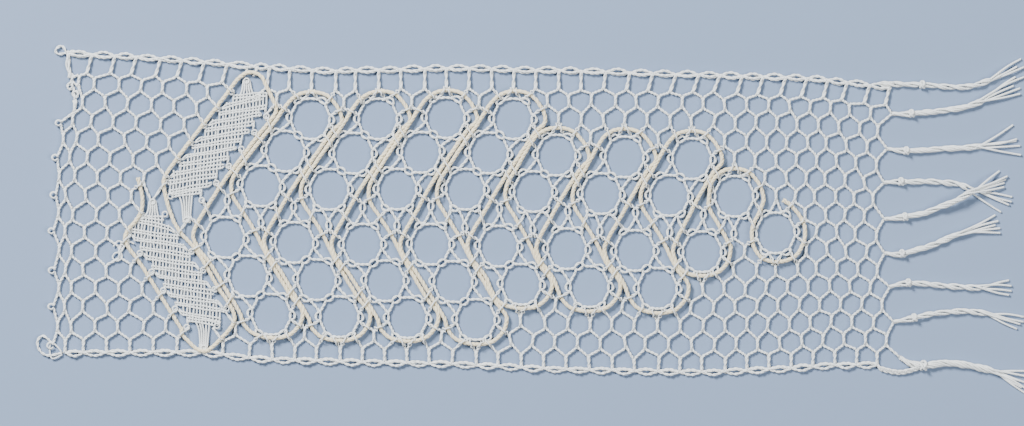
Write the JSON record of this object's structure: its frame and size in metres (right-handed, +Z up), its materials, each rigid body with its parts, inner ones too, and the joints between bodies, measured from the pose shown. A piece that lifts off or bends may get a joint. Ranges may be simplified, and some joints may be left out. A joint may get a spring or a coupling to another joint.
{
  "type": "bobbin lace piece",
  "caption": "Flat strip of white bobbin lace: net ground, leaf shapes, slanted bands of round holes outlined in thick thread, and knotted thread ends.",
  "frame": {"origin": "middle of the piece's box, on the surface that it lies on", "axes": "+X along the lace from its worked start to its tied thread ends, +Y across it towards the upper border, +Z up off the surface"},
  "size_m": [0.1236, 0.0428, 0.0022],
  "materials": {
    "lace_thread": "matt two-ply white cotton thread",
    "gimp_thread": "soft thick ivory cotton thread, loosely twisted"
  },
  "bodies": {
    "root": {"lace_ground": "lace_thread", "gimp_thread": "gimp_thread", "tassel_1": "lace_thread", "tassel_2": "lace_thread", "tassel_3": "lace_thread", "tassel_4": "lace_thread", "tassel_5": "lace_thread", "tassel_6": "lace_thread", "tassel_7": "lace_thread", "tassel_8": "lace_thread", "tassel_9": "lace_thread"}
  },
  "joints": []
}
